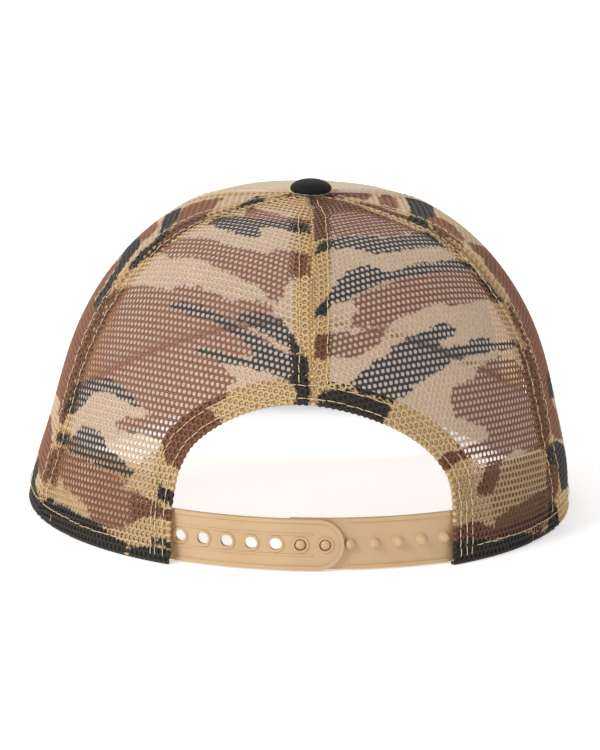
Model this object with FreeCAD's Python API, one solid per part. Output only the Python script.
import FreeCAD, Part
import math
import os

# Five-panel trucker cap with an open-mesh back and a two-strap snap closure.
# Units are millimetres and degrees.  +Z is up, the rim lies in z = 0, the visor points along
# -Y, the closure is at +Y and the wearer's left hand is +X.
# Azimuths are measured about Z from the back centre (+Y) towards +X.
# "arc" is the distance from the button, measured along the crown's profile.

os.makedirs("parts", exist_ok=True)
Vector = FreeCAD.Vector
SIDES = {"left": 1.0, "right": -1.0}       # sign of x on each side

# ---- crown shape ----------------------------------------------------------------------------
RIM_HALF_WIDTH = 94.0      # across the head
RIM_LENGTH_RATIO = 1.04    # rim half length / rim half width
CROWN_HEIGHT = 108.3       # rim plane to the crown at the button
CROWN_LEAN_Y = 4.6         # how far the crown's top sits back from the rim's centre
CROWN_LEAN_X = 1.6         # sideways set of the rim, fading out towards the button
TOP_LEAN_X = 0.7           # sideways set of the top, fading out towards the rim
RIM_SKEW_X = 1.2           # extra sideways set of the rim's last few millimetres
RIM_SKEW_HEIGHT = 14.0     # height over which that extra set fades
FRONT_FULLNESS = 0.17      # how much fuller the structured front is than the soft back
FRONT_START_COS = 0.15     # azimuth cosine where the fullness starts
FRONT_BLEND_COS = 0.5      # further drop in cosine over which it grows to its full amount
SHOULDER_LIFT = 1.8        # height of the stiff front's shoulder above the plain dome
SHOULDER_Y = -34.0         # where the shoulder is highest
SHOULDER_SPREAD = 24.0
FRONT_RIM_RISE = 12.0      # how far the rim arches up over the forehead
FRONT_RISE_HALF_AZ = 75.0  # the rise spans this azimuth either side of the front centre
NORMAL_BLEND_Z = 12.0      # below this height the outward direction turns level

# crown profile from the rim up to the button: (radius share, height share)
PROFILE = [(1.0, 0.0), (0.9825, 0.12), (0.9455, 0.25), (0.903, 0.40), (0.849, 0.55),
           (0.759, 0.70), (0.647, 0.82), (0.508, 0.91), (0.281, 0.97), (0.0, 1.0)]

# half-dome opening over the straps: (height, x on the left side, x on the right side)
ARCH = [(-6.0, 47.2, -47.2), (6.0, 47.1, -47.1), (18.0, 46.8, -46.8), (24.0, 46.0, -46.2),
        (29.5, 44.9, -44.6), (34.5, 42.9, -41.4), (38.5, 40.6, -37.8), (42.0, 37.4, -33.6),
        (45.5, 33.2, -28.4), (48.5, 28.6, -22.6), (51.3, 23.0, -15.6), (53.3, 17.2, -8.6)]
ARCH_TOP = (4.4, 55.0)     # x and height of the opening's highest point

# ---- cloth and layers -----------------------------------------------------------------------
SIDE_SEAM_AZ = {"left": 71.5, "right": 68.0}
FRONT_SEAM_AZ = 120.0
SEAM_GAP = 0.12            # gap between neighbouring panels
SHANK_HOLE_R = 2.6         # hole at the crown's top for the button shank
PANEL_T = 0.9              # mesh and front cloth thickness
LAYER_T = 0.8              # hems, seam tapes, backing
LAYER_GAP = 0.1            # air between neighbouring layers
STRAP_T = 1.2
SWEATBAND_T = 1.1
HEM_W = 7.6                # folded hem width
HEM_END_AZ = 116.0         # the rim hem and its stitching stop here
TAPE_W = 11.0              # seam tape width
TAPE_TOP_R = 14.5          # tapes and backing start at this radius from the button
TAPE_CLEARANCE = 0.2       # around the seam tapes
ARCH_HEM_CLEARANCE = 0.15  # around the opening's hem
SWEATBAND_W = 29.5
SWEATBAND_AZ = 41.0        # each end of the sweatband stops this far from the back centre

# layers as (outer, inner) offsets from the crown's outer face
PANEL_LAYER = (0.0, -PANEL_T)
LINING_OUT = -(PANEL_T + LAYER_GAP)
LINING_LAYER = (LINING_OUT, LINING_OUT - LAYER_T)
TAB_OUT = LINING_LAYER[1] - LAYER_GAP
TAB_LAYER = (TAB_OUT, TAB_OUT - STRAP_T)
SWEATBAND_OUT = TAB_LAYER[1] - LAYER_GAP
SWEATBAND_LAYER = (SWEATBAND_OUT, SWEATBAND_OUT - SWEATBAND_T)

# topstitching: each row is one flat cord lying just clear of the cloth
THREAD_W = 0.5
THREAD_T = 0.36
THREAD_GAP = 0.05
THREAD_LAYER = (THREAD_T + THREAD_GAP, THREAD_GAP)


# ---- maths helpers --------------------------------------------------------------------------
def natural_spline(xs, ys):
    """Function that evaluates the natural cubic spline through the given knots."""
    n = len(xs)
    second = [0.0] * n                     # second derivatives at the knots
    ratio = [0.0] * n
    partial = [0.0] * n
    for i in range(1, n - 1):
        before = xs[i] - xs[i - 1]
        after = xs[i + 1] - xs[i]
        pivot = 2.0 * (before + after) - before * ratio[i - 1]
        ratio[i] = after / pivot
        rhs = 6.0 * ((ys[i + 1] - ys[i]) / after - (ys[i] - ys[i - 1]) / before)
        partial[i] = (rhs - before * partial[i - 1]) / pivot
    for i in range(n - 2, 0, -1):
        second[i] = partial[i] - ratio[i] * second[i + 1]

    def value(x):
        low, high = 0, n - 1
        while high - low > 1:
            mid = (low + high) // 2
            if xs[mid] > x:
                high = mid
            else:
                low = mid
        step = xs[high] - xs[low]
        a = (xs[high] - x) / step
        b = (x - xs[low]) / step
        bend = (a ** 3 - a) * second[low] + (b ** 3 - b) * second[high]
        return a * ys[low] + b * ys[high] + bend * step * step / 6.0

    return value


def smooth(t):
    t = max(0.0, min(1.0, t))
    return t * t * (3.0 - 2.0 * t)


def mix(start, end, t):
    return start + (end - start) * t


def arc_angle(length, radius):
    return math.degrees(length / radius)


# ---- crown surface --------------------------------------------------------------------------
def make_profile():
    """Radius and height as functions of arc, and the arc at the rim."""
    half = [(r * RIM_HALF_WIDTH, z * CROWN_HEIGHT) for r, z in PROFILE]
    # mirrored through the button so that the top is level there
    knots = [(-r, z) for r, z in half[:-1]] + half[::-1]
    arcs = [0.0]
    for (r0, z0), (r1, z1) in zip(knots, knots[1:]):
        arcs.append(arcs[-1] + math.hypot(r1 - r0, z1 - z0))
    button_arc = arcs[len(half) - 1]
    arcs = [arc - button_arc for arc in arcs]
    radius = natural_spline(arcs, [r for r, _ in knots])
    height = natural_spline(arcs, [z for _, z in knots])
    return radius, height, arcs[-1]


profile_r, profile_z, RIM_ARC = make_profile()


def last_arc(low, holds):
    """Largest arc, from low to the rim, up to which holds(arc) is true."""
    high = RIM_ARC
    for _ in range(40):
        mid = 0.5 * (low + high)
        if holds(mid):
            low = mid
        else:
            high = mid
    return 0.5 * (low + high)


def arc_at_z(z):
    return last_arc(0.5, lambda arc: profile_z(arc) > z)


def arc_at_r(r):
    return last_arc(0.0, lambda arc: profile_r(arc) < r)


def height_share(z):
    return max(0.0, min(1.0, z / CROWN_HEIGHT))


def lean_x(z):
    share = height_share(z)
    skew = RIM_SKEW_X * math.exp(-(max(z, 0.0) / RIM_SKEW_HEIGHT) ** 2)
    return CROWN_LEAN_X * (1.0 - share) + TOP_LEAN_X * share ** 3 + skew


def crown(az, arc):
    """Point on the crown's outer face."""
    cos_az = math.cos(math.radians(az))
    sin_az = math.sin(math.radians(az))
    r, z = profile_r(arc), profile_z(arc)
    share = height_share(z)
    front = smooth((FRONT_START_COS - cos_az) / FRONT_BLEND_COS)
    fullness = 1.0 + front * FRONT_FULLNESS * share ** 1.5
    x = r * sin_az + lean_x(z)
    y = r * RIM_LENGTH_RATIO * cos_az * fullness + CROWN_LEAN_Y * share
    z += SHOULDER_LIFT * math.exp(-((y - SHOULDER_Y) / SHOULDER_SPREAD) ** 2) * share ** 5
    return Vector(x, y, z)


def crown_normal(az, arc):
    """Outward direction; it turns level at the rim so that every layer ends in one plane."""
    az_step, arc_step = 0.25, 0.4
    around = crown(az + az_step, arc) - crown(az - az_step, arc)
    down = crown(az, min(arc + arc_step, RIM_ARC)) - crown(az, arc - arc_step)
    normal = around.cross(down)
    outward = Vector(math.sin(math.radians(az)), math.cos(math.radians(az)), 1.0)
    if normal.dot(outward) < 0:
        normal = normal * -1.0
    normal.normalize()
    normal.z *= smooth(profile_z(arc) / NORMAL_BLEND_Z)
    normal.normalize()
    return normal


def crown_offset(az, arc, d):
    return crown(az, arc) + crown_normal(az, arc) * d


def rim_rise(az):
    from_front = abs(az % 360.0 - 180.0)
    if from_front > FRONT_RISE_HALF_AZ:
        return 0.0
    return FRONT_RIM_RISE * (0.5 + 0.5 * math.cos(math.pi * from_front / FRONT_RISE_HALF_AZ))


def rim_arc(az, lift=0.0):
    """Arc at the rim, or at a height of lift above it."""
    z = rim_rise(az) + lift
    return RIM_ARC if z <= 1e-6 else arc_at_z(z)


# ---- solids ---------------------------------------------------------------------------------
def slab(point, nu, nv, layer):
    """Solid between the two offset faces of point(u, v, d), with ruled side walls."""
    surfaces = []
    for d in layer:
        surface = Part.BSplineSurface()
        surface.interpolate([[point(i / (nu - 1.0), j / (nv - 1.0), d) for j in range(nv)]
                             for i in range(nu)])
        surfaces.append(surface)
    outer, inner = surfaces
    faces = [outer.toShape(), inner.toShape()]
    u0, u1, v0, v1 = outer.bounds()
    a0, a1, b0, b1 = inner.bounds()
    for outer_edge, inner_edge in ((outer.uIso(u0), inner.uIso(a0)),
                                   (outer.uIso(u1), inner.uIso(a1)),
                                   (outer.vIso(v0), inner.vIso(b0)),
                                   (outer.vIso(v1), inner.vIso(b1))):
        faces.append(Part.makeRuledSurface(outer_edge.toShape(), inner_edge.toShape()))
    shell = Part.makeShell(faces)
    shell.sewShape()
    solid = Part.makeSolid(shell)
    if solid.Volume < 0:
        solid.reverse()
    return solid


def crown_slab(az0, az1, top_arc, layer, nu, nv, gap=0.0):
    """Crown layer between two azimuths, from top_arc to the rim."""
    def point(u, v, d):
        arc = mix(top_arc, rim_arc(mix(az0, az1, u)), v)
        # keep a constant gap, in millimetres, to the seam planes
        inset = arc_angle(gap, profile_r(arc))
        return crown_offset(mix(az0 + inset, az1 - inset, u), arc, d)
    return slab(point, nu, nv, layer)


def arch_curve(grow):
    """Outline of the rear opening, grown outwards, in the y = 0 plane."""
    outline = [(x, z) for z, x, _ in ARCH] + [ARCH_TOP] + [(x, z) for z, _, x in reversed(ARCH)]
    grown = []
    for i, (x, z) in enumerate(outline):
        before = outline[max(i - 1, 0)]
        after = outline[min(i + 1, len(outline) - 1)]
        dx, dz = after[0] - before[0], after[1] - before[1]
        length = math.hypot(dx, dz)
        grown.append(Vector(x + grow * dz / length, 0.0, z - grow * dx / length))
    curve = Part.BSplineCurve()
    curve.interpolate(grown)
    return curve


def arch_prism(grow):
    """The grown opening, closed below and extruded through the back of the crown."""
    edge = arch_curve(grow).toShape()
    closing = Part.makeLine(edge.Curve.value(edge.LastParameter),
                            edge.Curve.value(edge.FirstParameter))
    face = Part.Face(Part.Wire([edge, closing]))
    face.translate(Vector(0, 30, 0))
    return face.extrude(Vector(0, 110, 0))


def largest_solid(shape):
    return max(shape.Solids, key=lambda solid: solid.Volume)


def save(name, shape):
    shape.exportStep("parts/%s.step" % name)


# ---- crown panels ---------------------------------------------------------------------------
OPENING = arch_prism(0.0)
AROUND_ARCH_HEM = arch_prism(HEM_W + ARCH_HEM_CLEARANCE)


def build_panels():
    top = arc_at_r(SHANK_HOLE_R)
    for side, sign in SIDES.items():
        seam = sign * SIDE_SEAM_AZ[side]
        gap = sign * SEAM_GAP / 2
        rear = crown_slab(0.0, seam, top, PANEL_LAYER, 11, 25, gap)
        save("rear_panel_" + side, largest_solid(rear.cut(OPENING)))
        save("side_panel_" + side,
             crown_slab(seam, sign * FRONT_SEAM_AZ, top, PANEL_LAYER, 11, 25, gap))
    save("front_panel", crown_slab(FRONT_SEAM_AZ, 360.0 - FRONT_SEAM_AZ, top, PANEL_LAYER,
                                   21, 25, SEAM_GAP / 2))


# ---- inner layer: seam tapes, backing, hems -------------------------------------------------
TAPE_TOP_ARC = arc_at_r(TAPE_TOP_R)


def seam_tape(az, end_z):
    end_arc = arc_at_z(end_z)

    def point(u, v, d):
        arc = mix(TAPE_TOP_ARC, end_arc, v)
        half = arc_angle(TAPE_W / 2.0, profile_r(arc))
        return crown_offset(az + (2.0 * u - 1.0) * half, arc, d)
    return slab(point, 5, 19, LINING_LAYER)


def build_tapes():
    end_z = HEM_W + TAPE_CLEARANCE
    for side, sign in SIDES.items():
        save("side_seam_tape_" + side, seam_tape(sign * SIDE_SEAM_AZ[side], end_z))
        save("front_seam_tape_" + side, seam_tape(sign * FRONT_SEAM_AZ, end_z))
    rear = seam_tape(0.0, ARCH_TOP[1] - 8.0).cut(AROUND_ARCH_HEM)
    save("rear_seam_tape", largest_solid(rear))


def build_front_backing():
    """Backing behind the front panel, between the front seam tapes."""
    rim_lift = 1.0

    def point(u, v, d):
        az = 180.0 + (2.0 * u - 1.0) * (180.0 - FRONT_SEAM_AZ)
        arc = mix(TAPE_TOP_ARC, rim_arc(az, rim_lift), v)
        inset = arc_angle(TAPE_W / 2.0 + TAPE_CLEARANCE, profile_r(arc))
        start = FRONT_SEAM_AZ + inset
        end = 360.0 - FRONT_SEAM_AZ - inset
        return crown_offset(mix(start, end, u), arc, d)
    save("front_backing", slab(point, 19, 23, LINING_LAYER))


def build_hems():
    arch_band = crown_slab(-52.0, 52.0, arc_at_z(ARCH_TOP[1] + HEM_W + 6.0), LINING_LAYER,
                           23, 15)
    save("arch_hem", largest_solid(arch_band.common(arch_prism(HEM_W)).cut(OPENING)))
    for side, sign in SIDES.items():
        hem = crown_slab(sign * 30.0, sign * HEM_END_AZ, arc_at_z(HEM_W), LINING_LAYER, 21, 5)
        save("rim_hem_" + side, largest_solid(hem.cut(AROUND_ARCH_HEM)))


def build_sweatband():
    def point(u, v, d):
        az = mix(SWEATBAND_AZ, 360.0 - SWEATBAND_AZ, u)
        return crown_offset(az, mix(rim_arc(az, SWEATBAND_W), rim_arc(az), v), d)
    save("sweatband", slab(point, 49, 9, SWEATBAND_LAYER))


# ---- visor ----------------------------------------------------------------------------------
VISOR_HALF_AZ = 62.0       # visor spans this azimuth either side of the front centre
VISOR_REACH = 70.0         # front centre of the crown to the visor's edge
VISOR_BOARD_T = 2.2
VISOR_COVER_T = 0.7
VISOR_COVER_GAP = 0.08     # between the board and each cover
VISOR_CROWN_GAP = 0.55     # crown's outer face to the visor's inner edge
VISOR_ROOT_LIFT = 2.6      # inner edge above the rim
VISOR_EDGE_Z = 8.4         # outer edge height at the front centre
VISOR_EDGE_DROP = 5.4      # how much lower the outer edge is towards the tips
VISOR_CAMBER = 1.2         # bulge halfway out, at the front centre
VISOR_TIP_OUTSET = 4.5     # moves the outer edge off the crown at the tips
VISOR_SQUARENESS = 0.86    # exponent below 1 squares the outer edge
VISOR_END = 0.97           # the layers stop at this share of the span
VISOR_TIP_X = (RIM_HALF_WIDTH + 1.5) * math.sin(math.radians(VISOR_HALF_AZ)) + 2.0
VISOR_TIP_Y = -(RIM_HALF_WIDTH * RIM_LENGTH_RATIO + 1.5) * math.cos(math.radians(VISOR_HALF_AZ))
VISOR_FRONT_Y = -(RIM_HALF_WIDTH * RIM_LENGTH_RATIO + VISOR_REACH)
VISOR_COVER_IN = VISOR_BOARD_T / 2.0 + VISOR_COVER_GAP
VISOR_COVER_OUT = VISOR_COVER_IN + VISOR_COVER_T

# stitching rows: (share of the way from the crown to the outer edge, share of the span)
VISOR_ROWS = [(0.30, 0.80), (0.50, 0.86), (0.70, 0.90), (0.93, 0.93)]
VISOR_ROW_DEPTH = 60.0     # nominal visor depth that turns the cord width into a share


def visor_mid(p, w):
    """Visor mid surface: p runs from the right tip (-1) to the left (1), w from the crown (0)
    to the outer edge (1)."""
    az = 180.0 - p * VISOR_HALF_AZ
    root = crown_offset(az, rim_arc(az), VISOR_CROWN_GAP)
    sin_p = math.sin(p * math.pi / 2.0)
    cos_p = math.cos(p * math.pi / 2.0)
    edge_x = VISOR_TIP_X * sin_p + CROWN_LEAN_X + RIM_SKEW_X
    edge_y = mix(VISOR_TIP_Y, VISOR_FRONT_Y, cos_p ** VISOR_SQUARENESS)
    edge_y -= VISOR_TIP_OUTSET * sin_p ** 6
    edge_z = VISOR_EDGE_Z - VISOR_EDGE_DROP * sin_p ** 2
    camber = VISOR_CAMBER * math.sin(math.pi * w) * (1.0 - p * p)
    z = mix(rim_rise(az) + VISOR_ROOT_LIFT, edge_z, w) + camber
    return Vector(mix(root.x, edge_x, w), mix(root.y, edge_y, w), z)


def visor_offset(p, w, d):
    step = 1e-3
    inside_w = max(0.002, min(0.998, w))
    along = visor_mid(p + step, inside_w) - visor_mid(p - step, inside_w)
    outward = visor_mid(p, inside_w + step) - visor_mid(p, inside_w - step)
    normal = along.cross(outward)
    normal.normalize()
    if normal.z < 0:
        normal = normal * -1.0
    return visor_mid(p, w) + normal * d


def build_visor():
    def point(u, v, d):
        # samples lie closer together near the tips
        p = VISOR_END * math.sin((2.0 * u - 1.0) * math.pi / 2.0)
        return visor_offset(p, v, d)

    half = VISOR_BOARD_T / 2.0
    for name, layer in (("board", (half, -half)),
                        ("top_cover", (VISOR_COVER_OUT, VISOR_COVER_IN)),
                        ("under_cover", (-VISOR_COVER_IN, -VISOR_COVER_OUT))):
        save("visor_" + name, slab(point, 33, 9, layer))


# ---- button (heights are above the crown's apex) --------------------------------------------
BUTTON_D = 14.2
BUTTON_H = 4.5             # foot to top
BUTTON_FOOT_Z = 0.35
BUTTON_DOME_Z = 1.0        # where the straight lip ends and the dome begins
BUTTON_COVER_SIDE_T = 0.65
BUTTON_COVER_TOP_T = 0.7
BUTTON_FIT_GAP = 0.1       # between shell and cover
SHANK_R = 1.9
SHANK_Z = -3.2
SHANK_LENGTH = 3.6
WASHER_R = 9.5
WASHER_HOLE_R = 2.1
WASHER_Z = -2.9
WASHER_T = 0.8
APEX = crown(0.0, 0.0)


def dome(radius, height, lip):
    """Domed solid on a straight lip that reaches below the dome's base."""
    steps = 12
    base = BUTTON_DOME_Z
    angles = [i * math.pi / 2 / steps for i in range(steps + 1)]
    arc = Part.BSplineCurve()
    arc.interpolate([Vector(radius * math.cos(a), 0, height * math.sin(a) + base)
                     for a in angles])
    axis_foot = Vector(0, 0, base - lip)
    rim_foot = Vector(radius, 0, base - lip)
    face = Part.Face(Part.Wire([
        Part.makeLine(axis_foot, rim_foot),
        Part.makeLine(rim_foot, Vector(radius, 0, base)),
        arc.toShape(),
        Part.makeLine(Vector(0, 0, base + height), axis_foot)]))
    solid = face.revolve(Vector(0, 0, 0), Vector(0, 0, 1), 360)
    solid.translate(APEX)
    return solid


def build_button():
    radius = BUTTON_D / 2.0
    lip = BUTTON_DOME_Z - BUTTON_FOOT_Z
    height = BUTTON_H - lip
    hollow_r = radius - BUTTON_COVER_SIDE_T
    hollow_h = height - BUTTON_COVER_TOP_T

    shell = dome(hollow_r - BUTTON_FIT_GAP, hollow_h - BUTTON_FIT_GAP, lip)
    shank = Part.makeCylinder(SHANK_R, SHANK_LENGTH, APEX + Vector(0, 0, SHANK_Z))
    save("button_shell", largest_solid(shell.fuse(shank).removeSplitter()))

    # the hollow reaches below the cover's foot so that it opens downwards
    cover = dome(radius, height, lip).cut(dome(hollow_r, hollow_h, 2.0))
    save("button_cover", largest_solid(cover))

    # washer under the crown, rounded on both outer edges
    washer = Part.makeCylinder(WASHER_R, WASHER_T, APEX + Vector(0, 0, WASHER_Z))
    washer = washer.cut(Part.makeCylinder(WASHER_HOLE_R, 3.0, APEX + Vector(0, 0, -4.0)))
    outer_edges = [edge for edge in washer.Edges
                   if abs(edge.Length - 2 * math.pi * WASHER_R) < 0.1]
    save("button_back", largest_solid(washer.makeFillet(0.3, outer_edges)))


# ---- closure straps -------------------------------------------------------------------------
STRAP_Z0 = 0.4
STRAP_Z1 = 17.6
STRAP_MID_Z = 0.5 * (STRAP_Z0 + STRAP_Z1)
STRAP_HALF_W = 0.5 * (STRAP_Z1 - STRAP_Z0)
STRAP_PITCH = 8.1          # peg and hole pitch along the strap
HOLE_R = 2.0
COLLAR_W = 0.75            # raised collar around each hole
PEG_R_BASE = 1.62
PEG_R_SHOULDER = 1.43      # where the peg's tip cone begins
PEG_R_TIP = 0.88
PEG_H = 2.05
PEG_TIP_H = 0.45
BORDER_W = 1.3             # raised border
BORDER_H = 0.35
RIB_HALF_W = 0.35          # thin ribs between border and holes, left strap only
RIB_H = 0.22
RIB_OFFSET = 3.5           # rib centre from the strap's centre line
RAISED_OVERLAP = 0.2       # how deep raised features reach into the strap
ROOT_CLEAR_AZ = 0.9        # raised features stop this angle short of the hinge line
TIP_BLOCK_AZ = 10.0        # extra angle at the left strap's tip, before it is rounded off
ROOT_X = 46.3              # hinge line of each strap, just inside the opening's edge
ROOT_Y = {"left": 80.3, "right": 78.8}
MID_Y = {"left": 91.6, "right": 90.1}      # mid surface at x = 0; the left strap lies outside
STATIONS = [-STRAP_PITCH / 2 + STRAP_PITCH * k for k in range(7)]   # holes, from x = 0
LEFT_TIP = -STRAP_PITCH / 2 - 6.3          # ends of the straps along their arcs, from x = 0
RIGHT_TIP = STRAP_PITCH / 2 + 3.6
TAB_LENGTH = {"left": 16.0, "right": 13.0}
TAB_START = 2.9            # tab's inner end beyond the hinge line


def strap_circle(side):
    """Radius, centre y and hinge angle of a strap's mid surface."""
    sag = MID_Y[side] - ROOT_Y[side]
    radius = (ROOT_X ** 2 + sag ** 2) / (2.0 * sag)
    return radius, MID_Y[side] - radius, math.degrees(math.asin(ROOT_X / radius))


def ring_sector(centre_y, r0, r1, z0, z1, a0, a1):
    """Ring sector about (0, centre_y); angles from +Y towards +X."""
    ring = Part.makeCylinder(r1, z1 - z0, Vector(0, centre_y, z0), Vector(0, 0, 1), a1 - a0)
    ring = ring.cut(Part.makeCylinder(r0, z1 - z0 + 2, Vector(0, centre_y, z0 - 1)))
    # the cylinder starts at +X and opens anticlockwise; turn it so it spans a0..a1
    ring.rotate(Vector(0, centre_y, 0), Vector(0, 0, 1), 90.0 - a1)
    return ring


def radial_pin(centre_y, angle, r, start, end, r_end=None):
    """Cylinder, or cone if r_end is given, along a radius at mid strap height."""
    a = math.radians(angle)
    direction = Vector(math.sin(a), math.cos(a), 0)
    base = Vector(0, centre_y, STRAP_MID_Z) + direction * start
    if r_end is None:
        return Part.makeCylinder(r, end - start, base, direction)
    return Part.makeCone(r, r_end, end - start, base, direction)


def strap_body(radius, centre_y, a0, a1):
    return ring_sector(centre_y, radius - STRAP_T / 2.0, radius + STRAP_T / 2.0,
                       STRAP_Z0, STRAP_Z1, a0, a1)


def raised_band(radius, centre_y, height, z0, z1, a0, a1):
    face = radius + STRAP_T / 2.0
    return ring_sector(centre_y, face - RAISED_OVERLAP, face + height, z0, z1, a0, a1)


def borders(radius, centre_y, a0, a1):
    """Raised borders along the strap's bottom and top edges."""
    return [raised_band(radius, centre_y, BORDER_H, z0, z1, a0, a1)
            for z0, z1 in ((STRAP_Z0, STRAP_Z0 + BORDER_W), (STRAP_Z1 - BORDER_W, STRAP_Z1))]


def knuckle(side):
    """Round edge along the hinge line."""
    return Part.makeCylinder(STRAP_T / 2.0, STRAP_Z1 - STRAP_Z0,
                             Vector(SIDES[side] * ROOT_X, ROOT_Y[side], STRAP_Z0))


def build_strap_left():
    """Strap with holes, collars, ribs and a border that runs round its half-round tip."""
    radius, centre_y, root = strap_circle("left")
    face = radius + STRAP_T / 2.0
    tip = arc_angle(LEFT_TIP + STRAP_HALF_W, radius)       # centre of the half-round tip
    raised_end = root - ROOT_CLEAR_AZ
    holes = [arc_angle(station, radius) for station in STATIONS]

    def through_pin(angle, r):
        return radial_pin(centre_y, angle, r, radius - 8, radius + 8)

    raised = borders(radius, centre_y, tip, raised_end)
    for z in (STRAP_MID_Z - RIB_OFFSET, STRAP_MID_Z + RIB_OFFSET):
        raised.append(raised_band(radius, centre_y, RIB_H, z - RIB_HALF_W, z + RIB_HALF_W,
                                  tip + 1.0, raised_end))
    tip_border = raised_band(radius, centre_y, BORDER_H, STRAP_Z0, STRAP_Z1,
                             tip - TIP_BLOCK_AZ, tip)
    raised.append(tip_border.cut(through_pin(tip, STRAP_HALF_W - BORDER_W)))
    for angle in holes:
        raised.append(radial_pin(centre_y, angle, HOLE_R + COLLAR_W,
                                 face - RAISED_OVERLAP, face + BORDER_H))

    body = strap_body(radius, centre_y, tip - TIP_BLOCK_AZ, root)
    strap = body.multiFuse(raised + [knuckle("left")])
    # everything beyond the half-round tip
    waste = ring_sector(centre_y, radius - 6, radius + 6, STRAP_Z0 - 3, STRAP_Z1 + 3,
                        tip - 16.0, tip)
    strap = strap.cut(waste.cut(through_pin(tip, STRAP_HALF_W)))
    for angle in holes:
        strap = strap.cut(through_pin(angle, HOLE_R))
    save("strap_left", largest_solid(strap.removeSplitter()))


def build_strap_right():
    """Strap with pegs, and borders along the top and bottom."""
    radius, centre_y, root = strap_circle("right")
    peg_top = radius + STRAP_T / 2.0 + PEG_H
    shoulder = peg_top - PEG_TIP_H
    # the borders stop short of the left strap's tip
    raised = borders(radius, centre_y, -root + ROOT_CLEAR_AZ, arc_angle(LEFT_TIP - 1.6, radius))
    for station in STATIONS:
        angle = arc_angle(-station, radius)
        raised.append(radial_pin(centre_y, angle, PEG_R_BASE, radius, shoulder, PEG_R_SHOULDER))
        raised.append(radial_pin(centre_y, angle, PEG_R_SHOULDER, shoulder, peg_top, PEG_R_TIP))
    body = strap_body(radius, centre_y, -root, arc_angle(RIGHT_TIP, radius))
    strap = body.multiFuse(raised + [knuckle("right")])
    save("strap_right", largest_solid(strap.removeSplitter()))


def build_strap_tab(side):
    """Sewn tab behind the mesh, following the crown's inside."""
    sign = SIDES[side]
    top, bottom = arc_at_z(STRAP_Z1), arc_at_z(STRAP_Z0)
    span = arc_angle(TAB_LENGTH[side], RIM_HALF_WIDTH)

    def point(u, v, d):
        arc = mix(top, bottom, v)
        start_x = ROOT_X + TAB_START - sign * lean_x(profile_z(arc))
        start = math.degrees(math.asin(start_x / profile_r(arc)))
        return crown_offset(sign * (start + span * u), arc, d)
    save("strap_%s_tab" % side, slab(point, 7, 5, TAB_LAYER))


# ---- topstitching ---------------------------------------------------------------------------
SEAM_ROW_TOP_R = 9.0       # rows beside the seams start at this radius from the button
REAR_ROW_DIST = 4.6        # distances of the rows from their seams
SIDE_ROW_DIST = 4.4
FRONT_ROW_DIST = 3.0
RIM_ROW_Z = 5.4
SIDE_ROW_END_Z = 6.4
RIM_ROW_START_AZ = {"left": 33.6, "right": 37.8}   # clear of the opening's outer row
ARCH_ROWS = {"inner": 1.9, "outer": 5.9}           # distance from the opening's edge


def across_cord(u):
    return (2.0 * u - 1.0) * THREAD_W / 2.0


def seam_row(az, distance, end_arc):
    """Cord beside a seam; rows close in on the seam under the button."""
    start_arc = arc_at_r(SEAM_ROW_TOP_R)

    def point(u, v, d):
        arc = mix(start_arc, end_arc, v)
        spread = smooth((profile_r(arc) - 7.0) / 22.0)
        from_seam = distance * (0.35 + 0.65 * spread) + across_cord(u)
        return crown_offset(az + arc_angle(from_seam, profile_r(arc)), arc, d)
    return slab(point, 3, 22, THREAD_LAYER)


def build_seam_stitches():
    rear_end = arc_at_z(ARCH_TOP[1] + 6.4)
    side_end = arc_at_z(SIDE_ROW_END_Z)
    front_end = rim_arc(FRONT_SEAM_AZ, 5.0)
    for side, sign in SIDES.items():
        seam = sign * SIDE_SEAM_AZ[side]
        save("rear_stitch_" + side, seam_row(0.0, sign * REAR_ROW_DIST, rear_end))
        save("side_stitch_%s_rear" % side, seam_row(seam, -sign * SIDE_ROW_DIST, side_end))
        save("side_stitch_%s_front" % side, seam_row(seam, sign * SIDE_ROW_DIST, side_end))
        save("front_stitch_" + side,
             seam_row(sign * FRONT_SEAM_AZ, sign * FRONT_ROW_DIST, front_end))


def build_arch_stitch(name, distance):
    curves = [arch_curve(distance + across_cord(u)) for u in (0.0, 0.5, 1.0)]

    def point(u, v, d):
        curve = curves[int(round(u * 2))]
        t = mix(curve.FirstParameter, curve.LastParameter, 0.055 + 0.89 * v)
        flat = curve.value(t)
        # carry the flat outline back onto the rear of the crown
        z = max(flat.z, 1.0)
        arc = arc_at_z(z)
        az = math.degrees(math.asin((flat.x - lean_x(z)) / profile_r(arc)))
        return crown_offset(az, arc, d)
    save("arch_stitch_" + name, slab(point, 3, 41, THREAD_LAYER))


def build_rim_stitch(side):
    def point(u, v, d):
        az = mix(RIM_ROW_START_AZ[side], HEM_END_AZ, v)
        return crown_offset(SIDES[side] * az, rim_arc(az, RIM_ROW_Z + across_cord(u)), d)
    save("rim_stitch_" + side, slab(point, 3, 20, THREAD_LAYER))


def build_visor_stitch(number, row, span):
    def point(u, v, d):
        w = row + across_cord(u) / VISOR_ROW_DEPTH
        return visor_offset(mix(-span, span, v), w, VISOR_COVER_OUT + d)
    save("visor_stitch_%d" % number, slab(point, 3, 31, THREAD_LAYER))


# ---- build ----------------------------------------------------------------------------------
build_panels()
build_tapes()
build_front_backing()
build_hems()
build_sweatband()
build_visor()
build_button()
build_strap_left()
build_strap_right()
build_seam_stitches()
for side in SIDES:
    build_strap_tab(side)
    build_rim_stitch(side)
for name, distance in ARCH_ROWS.items():
    build_arch_stitch(name, distance)
for number, (row, span) in enumerate(VISOR_ROWS, 1):
    build_visor_stitch(number, row, span)
